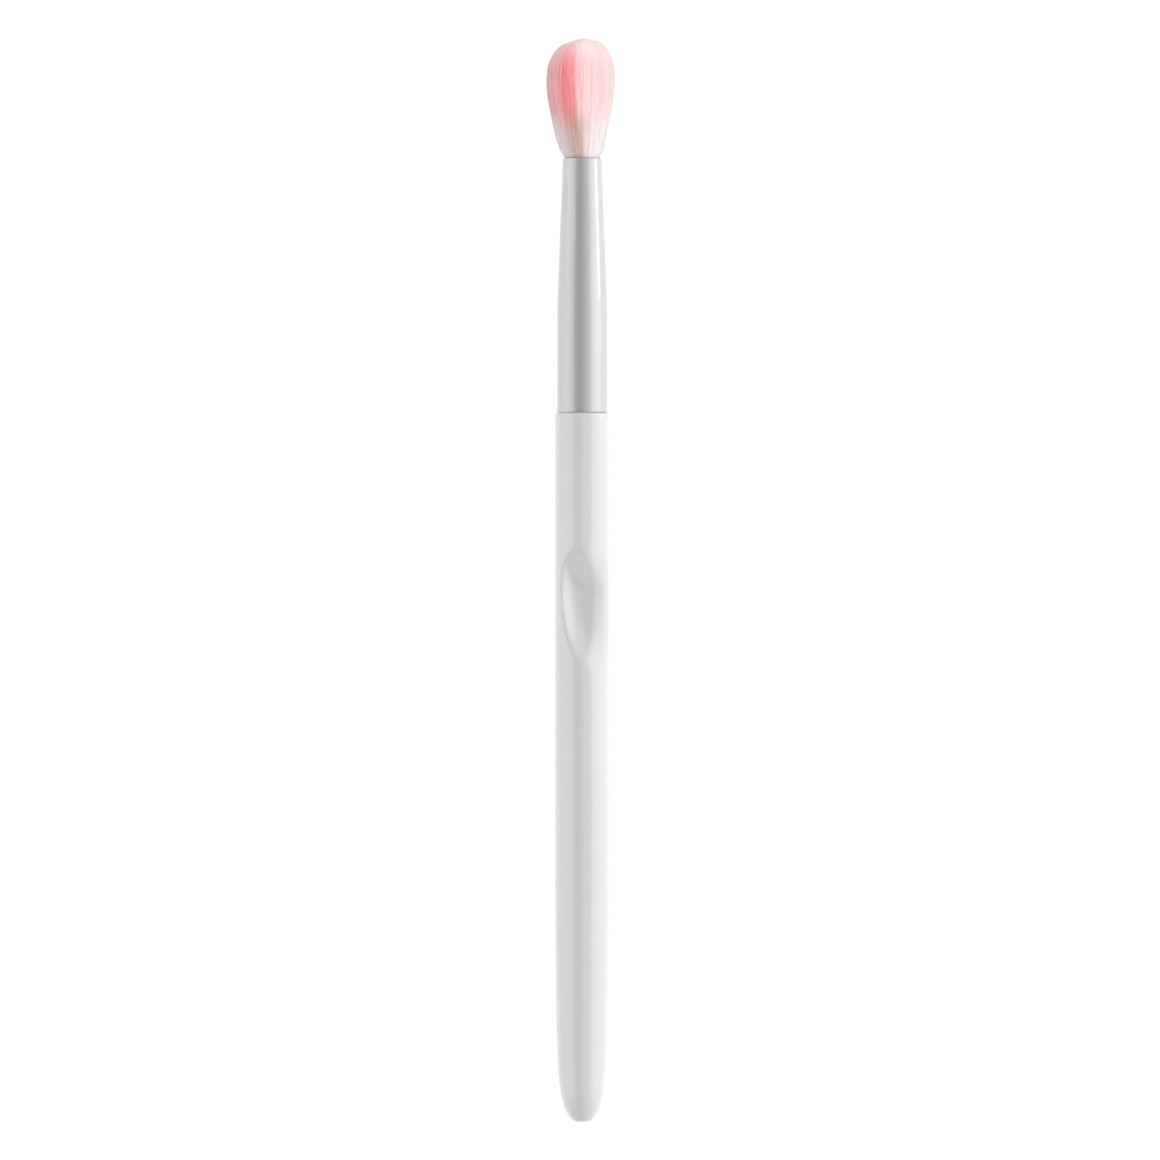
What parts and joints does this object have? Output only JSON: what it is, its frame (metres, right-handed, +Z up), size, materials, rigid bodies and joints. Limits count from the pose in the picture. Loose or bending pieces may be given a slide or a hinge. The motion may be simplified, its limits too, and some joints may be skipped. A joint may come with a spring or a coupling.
{
  "type": "eyebrow brush",
  "caption": "Slim cosmetic brush: a soft pear-shaped tuft in a tapered metal ferrule, on a round moulded handle with a leaf-shaped thumb recess and a rounded butt.",
  "frame": {"origin": "on the table under the middle of the lying brush", "axes": "+Z up from the table, +X along the brush from the butt to the tuft; the thumb recess faces up"},
  "size_m": [0.165, 0.0104, 0.0104],
  "materials": {
    "handle_abs": "white, gloss moulded",
    "ferrule_aluminium": "pale silver, satin anodised",
    "tuft_filament": "soft synthetic filament, cream at the root and pink above",
    "thread_cotton": "twisted thread",
    "root_epoxy": "cast amber epoxy",
    "joint_adhesive": "cured adhesive"
  },
  "bodies": {
    "root": {"handle": "handle_abs", "ferrule": "ferrule_aluminium", "bristle_tuft": "tuft_filament", "binding_thread": "thread_cotton", "root_plug": "root_epoxy", "handle_glue": "joint_adhesive"}
  },
  "joints": []
}
